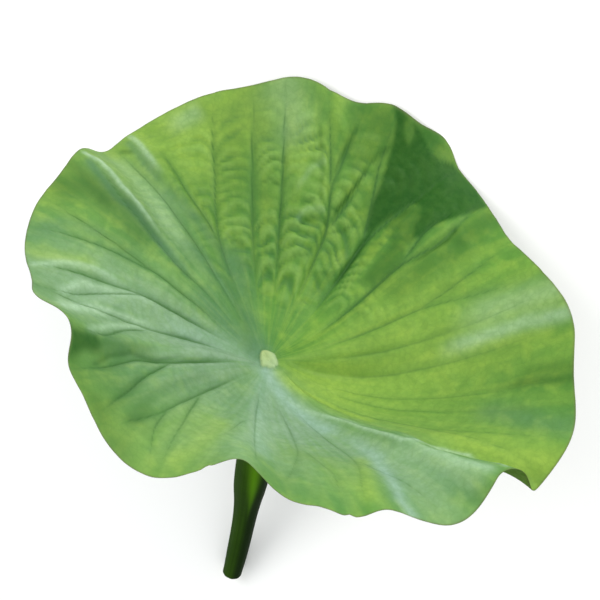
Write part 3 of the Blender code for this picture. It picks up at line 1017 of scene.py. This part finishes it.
def make_stalk():
    """The round stalk, from under the navel to its cut end."""
    deselect_all()
    bpy.ops.mesh.primitive_cylinder_add(vertices=STALK_SIDES, radius=1.0, depth=1.0)
    stalk = bpy.context.active_object
    stalk.name = stalk.data.name = "lotus_stalk"
    corners = coordinates(stalk.data)
    pick_edges(stalk, lambda ends: abs(corners[ends[0], 2] - corners[ends[1], 2]) > 0.5)
    bpy.ops.mesh.subdivide(number_cuts=STALK_RINGS - 1)
    object_mode()
    places = coordinates(stalk.data)
    moved = np.empty_like(places)
    radii_at, radii = zip(*STALK_RADII)
    for number, (x, y, z) in enumerate(places):
        along = 0.5 - z
        centre, way = stalk_frame(along)
        turn = Vector((0, 0, -1)).rotation_difference(way)
        angle = math.atan2(y, x)
        radius = float(np.interp(along + np.array([-0.02, 0.0, 0.02]), radii_at, radii).mean())
        lined = 0.012 * math.sin(9 * angle + 4 * along)
        radius *= 1 + lined + 0.01 * noise.noise(Vector((x, y, 14 * along)))
        out = turn @ Vector((math.cos(angle), math.sin(angle), 0.0))
        moved[number] = centre + out * radius
    set_coordinates(stalk.data, to_row_frame(moved))
    fields = stalk_fields(np.degrees(np.arctan2(places[:, 1], places[:, 0])), 0.5 - places[:, 2])
    for name, values in fields.items():
        write_layer(stalk.data, name, values)
    stalk.data.materials.append(stalk_material())
    stalk.data.materials.append(flesh_material())
    cut_normal = LEAF.to_3x3().normalized() @ stalk_frame(1.0)[1]
    for face in stalk.data.polygons:
        if len(face.vertices) > 4 and face.normal.dot(cut_normal) > 0.9:
            face.material_index = 1
    bore_canals(stalk)
    work_on(stalk)
    bpy.ops.object.shade_smooth_by_angle(angle=math.radians(SHARP_ANGLE))
    return stalk


# Materials.


def new_material(name):
    material = bpy.data.materials.new(name)
    material.use_nodes = True
    return material, material.node_tree, material.node_tree.nodes["Principled BSDF"]


def feed(node, values):
    """Links sockets to a node's inputs, and sets its other inputs to plain values or colours."""
    for name, value in values.items():
        socket = node.inputs[name]
        if isinstance(value, bpy.types.NodeSocket):
            node.id_data.links.new(value, socket)
        elif isinstance(value, tuple):
            socket.default_value = (*value, 1.0)[: len(socket.default_value)]
        else:
            socket.default_value = value


def fed_node(tree, kind, values):
    """A new node with its inputs fed."""
    node = tree.nodes.new("ShaderNode" + kind)
    feed(node, values)
    return node


def attribute(tree, name, output="Fac"):
    node = tree.nodes.new("ShaderNodeAttribute")
    node.attribute_name = name
    return node.outputs[output]


def colour_mix(amount, first, second):
    """A colour that goes from first to second with amount, a socket; the others may be plain colours."""
    node = amount.id_data.nodes.new("ShaderNodeMix")
    node.data_type = "RGBA"
    feed(node, {0: amount, 6: first, 7: second})
    return node.outputs[2]


def ramp(value, low, high, to_low=0.0, to_high=1.0):
    """A value moved from one range to another, and held inside it."""
    ends = {"From Min": low, "From Max": high, "To Min": to_low, "To Max": to_high}
    node = fed_node(value.id_data, "MapRange", {"Value": value, **ends})
    node.interpolation_type = "SMOOTHSTEP"
    return node.outputs["Result"]


def math_node(operation, first, second):
    node = fed_node(first.id_data, "Math", {0: first, 1: second})
    node.operation = operation
    return node.outputs[0]


def noise_value(vector, scale, detail):
    values = {"Vector": vector, "Scale": scale, "Detail": detail}
    return fed_node(vector.id_data, "TexNoise", values).outputs["Fac"]


def object_place(tree):
    return tree.nodes.new("ShaderNodeTexCoord").outputs["Object"]


def stretched(vector, scale):
    return fed_node(vector.id_data, "Mapping", {"Vector": vector, "Scale": scale}).outputs["Vector"]


def bump(height, strength, distance):
    values = {"Height": height, "Strength": strength, "Distance": distance}
    return fed_node(height.id_data, "Bump", values).outputs["Normal"]


def laid_over(colour, mask, strength, over):
    """A colour with another laid over it where a mask is strong."""
    return colour_mix(math_node("MULTIPLY", mask, strength), colour, over)


def with_glow(tree, shader, glow, share):
    """Lets part of the light from behind come through the sheet."""
    through = fed_node(tree, "BsdfTranslucent", {"Color": glow})
    mixed = fed_node(tree, "MixShader", {0: share, 1: shader.outputs[0], 2: through.outputs[0]})
    feed(tree.nodes["Material Output"], {"Surface": mixed.outputs[0]})


def make_group(name, inputs, outputs):
    """An empty shader node group with named inputs and outputs, and its two end nodes."""
    group = bpy.data.node_groups.new(name, "ShaderNodeTree")
    for way, sockets in (("INPUT", inputs), ("OUTPUT", outputs)):
        for label, kind in sockets.items():
            group.interface.new_socket(name=label, in_out=way, socket_type="NodeSocket" + kind)
    return group, group.nodes.new("NodeGroupInput").outputs, group.nodes.new("NodeGroupOutput")


def mottle_group():
    """Clouds, fine speckle and the finest net of veins of living tissue, all from 0 to 1."""
    inputs = {"Place": "Vector", "Cloud Scale": "Float", "Speckle Scale": "Float"}
    outputs = {"Clouds": "Float", "Speckle": "Float", "Net": "Float"}
    group, given, end = make_group("leaf_mottle", inputs, outputs)
    for label, scale, detail in (("Clouds", "Cloud Scale", 4.0), ("Speckle", "Speckle Scale", 3.0)):
        lumps = noise_value(given["Place"], given[scale], detail)
        feed(end, {label: ramp(lumps, 0.32, 0.68)})
    net = fed_node(group, "TexVoronoi", {"Vector": given["Place"], "Scale": given["Speckle Scale"]})
    net.feature = "DISTANCE_TO_EDGE"
    feed(end, {"Net": ramp(net.outputs["Distance"], 0.02, 0.16, 1.0, 0.0)})
    return group


def margin_group():
    """A colour with the blade's thin reddish edge laid over it."""
    group, given, end = make_group("leaf_margin", {"Colour": "Color", "Share": "Float"}, {"Colour": "Color"})
    amount = ramp(given["Share"], 0.991, 0.9995, 0.0, 0.45)
    feed(end, {"Colour": colour_mix(amount, given["Colour"], MARGIN_COLOUR)})
    return group


def place_group(tree, group, values):
    """Places a node group in a material, with its own values or links."""
    node = tree.nodes.new("ShaderNodeGroup")
    node.node_tree = group
    feed(node, values)
    return node.outputs


def mottled(tree, clouds, speckle):
    """The mottle of living tissue, with the scales of its two noises."""
    values = {"Place": object_place(tree), "Cloud Scale": clouds, "Speckle Scale": speckle}
    return place_group(tree, MOTTLE, values)


def edged(tree, colour):
    """A colour of the blade with the reddish edge."""
    return place_group(tree, MARGIN, {"Colour": colour, "Share": attribute(tree, "share")})["Colour"]


def upper_material():
    """The upper face: fresh green with a blue-grey bloom, fine veins, a thin reddish edge, and painted light
    and shade.
    """
    material, tree, shader = new_material("leaf_upper_face")
    place = object_place(tree)
    mottle = mottled(tree, 28.0, 250.0)
    streaks = noise_value(stretched(attribute(tree, "spoke", "Vector"), (16.0, 16.0, 3.0)), 1.0, 4.0)
    patches = noise_value(place, 85.0, 2.0)
    # The wax bloom, partly a painted sheen, broken into streaks.
    bloom_and_sheen = math_node("MULTIPLY", attribute(tree, "bloom_and_sheen"), ramp(streaks, 0.2, 0.6, 0.6, 1.0))
    green = colour_mix(mottle["Clouds"], GREEN_COOL, GREEN_WARM)
    green = colour_mix(ramp(patches, 0.35, 0.6, 0.4, 0.0), green, GREEN_COOL)
    green = colour_mix(ramp(patches, 0.5, 0.7, 0.0, 0.35), green, GREEN_YELLOW_AND_GLOW)
    green = colour_mix(ramp(streaks, 0.4, 0.7, 0.0, 0.35), green, GREEN_YELLOW_AND_GLOW)
    green = colour_mix(bloom_and_sheen, green, WAX_BLOOM_AND_SHEEN)
    for field, strength, colour in UPPER_COLOURS:
        green = laid_over(green, attribute(tree, field), strength, colour)
    green = laid_over(green, mottle["Speckle"], 0.2, GREEN_SPECKLE)
    green = laid_over(green, mottle["Net"], 0.1, VEIN_AND_GROOVE_SHADE)
    # Dark vein lines, partly painted shade in the grooves.
    green = colour_mix(ramp(attribute(tree, "vein"), 0.25, 0.95, 0.0, 0.6), green, VEIN_AND_GROOVE_SHADE)
    flesh = colour_mix(mottle["Clouds"], BOSS_COOL, BOSS_WARM)
    green = colour_mix(attribute(tree, "boss"), edged(tree, green), flesh)
    grain = math_node("ADD", mottle["Speckle"], noise_value(place, 600.0, 2.0))
    looks = {
        "Base Color": green,
        "Roughness": ramp(bloom_and_sheen, 0.0, 1.0, 0.58, 0.72),
        "Specular IOR Level": 0.2,
        "Sheen Weight": 0.03,
        "Sheen Roughness": 0.5,
        "Sheen Tint": WAX_SHEEN,
        "Normal": bump(grain, 0.25, 0.0003),
    }
    feed(shader, looks)
    # Less light comes through where the painted shadow and the deep green lie.
    with_glow(tree, shader, colour_mix(attribute(tree, "deep"), GLOW_GREEN, GLOW_DEEP_AND_SHADOW), 0.25)
    return material


def under_material():
    """The underside: paler and duller, with light ribs."""
    material, tree, shader = new_material("leaf_underside")
    mottle = mottled(tree, 35.0, 260.0)
    green = colour_mix(mottle["Clouds"], UNDER_COOL, UNDER_WARM)
    green = laid_over(green, mottle["Net"], 0.3, RIB_COLOUR)
    green = colour_mix(ramp(attribute(tree, "vein"), 0.1, 0.8, 0.0, 0.75), green, RIB_COLOUR)
    grain = bump(mottle["Speckle"], 0.3, 0.0004)
    looks = {"Base Color": edged(tree, green), "Roughness": 0.7, "Specular IOR Level": 0.04, "Normal": grain}
    feed(shader, looks)
    with_glow(tree, shader, GLOW_UNDER, 0.3)
    return material


def stalk_material():
    """The stalk's skin: dark green, lighter towards the blade, finely lined, with painted light and shade.
    """
    material, tree, shader = new_material("stalk_skin")
    mottle = mottled(tree, 45.0, 500.0)
    lines = noise_value(stretched(attribute(tree, "spoke", "Vector"), (9.0, 9.0, 2.0)), 1.0, 4.0)
    # Painted light on the stalk's left side and painted shade on its right.
    green = colour_mix(attribute(tree, "side"), STALK_DARK_AND_SHADE, STALK_LIT)
    green = colour_mix(ramp(lines, 0.35, 0.7, 0.35, 0.0), green, STALK_DARK_AND_SHADE)
    green = laid_over(green, mottle["Clouds"], 0.3, STALK_DARK_AND_SHADE)
    green = laid_over(green, ramp(attribute(tree, "along"), 0.1, 0.5, 0.5, 0.0), lines, STALK_UPPER_AND_PAINTED_LIGHT)
    # The painted light wedge below the blade.
    green = laid_over(green, attribute(tree, "painted_light_wedge"), 0.9, STALK_UPPER_AND_PAINTED_LIGHT)
    height = math_node("ADD", lines, math_node("MULTIPLY", mottle["Speckle"], 0.3))
    looks = {
        "Base Color": green,
        "Roughness": 0.65,
        "Specular IOR Level": 0.04,
        "Specular Tint": STALK_SHINE,
        "Normal": bump(height, 0.3, 0.0005),
    }
    feed(shader, looks)
    return material


def flesh_material():
    """The pale moist flesh of the cut end and of its air canals."""
    material, tree, shader = new_material("stalk_flesh")
    mottle = mottled(tree, 260.0, 1400.0)
    flesh = colour_mix(mottle["Clouds"], FLESH_DARK, FLESH_PALE)
    grain = bump(mottle["Speckle"], 0.3, 0.0002)
    feed(shader, {"Base Color": flesh, "Roughness": 0.45, "Normal": grain})
    return material


def plain_material(name, colour, roughness):
    material, _, shader = new_material(name)
    feed(shader, {"Base Color": colour, "Roughness": roughness})
    return material


# Stage, lights and camera.


def make_camera():
    """The camera: the photograph's view of the blade, turned as the leaf lies."""
    axes = camera_axes()
    turn = (LEAF.to_3x3().normalized() @ axes).to_4x4()
    data = bpy.data.cameras.new("camera")
    data.sensor_width = SENSOR_WIDTH
    data.lens = SENSOR_WIDTH * CAMERA_DISTANCE / (MM_PER_PIXEL * PHOTO_SIDE)
    camera = bpy.data.objects.new("camera", data)
    bpy.context.scene.collection.objects.link(camera)
    camera.matrix_world = Matrix.Translation(LEAF @ (axes @ camera_offset())) @ turn
    bpy.context.scene.camera = camera
    return camera


def make_light(name, place, size, power, colour):
    """A round light that points at the leaf."""
    data = bpy.data.lights.new(name, "AREA")
    data.shape = "DISK"
    data.size = size
    data.energy = power
    data.color = colour
    light = bpy.data.objects.new(name, data)
    bpy.context.scene.collection.objects.link(light)
    light.location = place
    light.rotation_euler = (Vector(LIGHT_TARGET) - place).to_track_quat("-Z", "Y").to_euler()


def make_stage(camera):
    """The floor, the lights and the studio's even light."""
    deselect_all()
    bpy.ops.mesh.primitive_plane_add(size=FLOOR_SIDE, location=(0, 0, 0))
    floor = bpy.context.active_object
    floor.name = "floor"
    floor.data.materials.append(plain_material("pale_floor", FLOOR_COLOUR, 0.8))
    turn = camera.matrix_world.to_3x3()
    for name, (way, distance, size, power, colour) in LIGHTS.items():
        place = Vector(LIGHT_TARGET) + turn @ Vector(way).normalized() * distance
        make_light(name, place, size, power, colour)
    world = bpy.data.worlds.new("studio")
    bpy.context.scene.world = world
    world.use_nodes = True
    feed(world.node_tree.nodes["Background"], {"Color": SKY_COLOUR, "Strength": SKY_STRENGTH})
    bpy.context.scene.view_settings.view_transform = "Standard"


MOTTLE = mottle_group()
MARGIN = margin_group()


def main():
    blade = make_blade()
    stalk = make_stalk()
    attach(blade, "root")
    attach(stalk, "root")
    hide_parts("leaf_blade")
    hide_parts("leaf_stalk")
    camera = make_camera()
    make_stage(camera)


main()
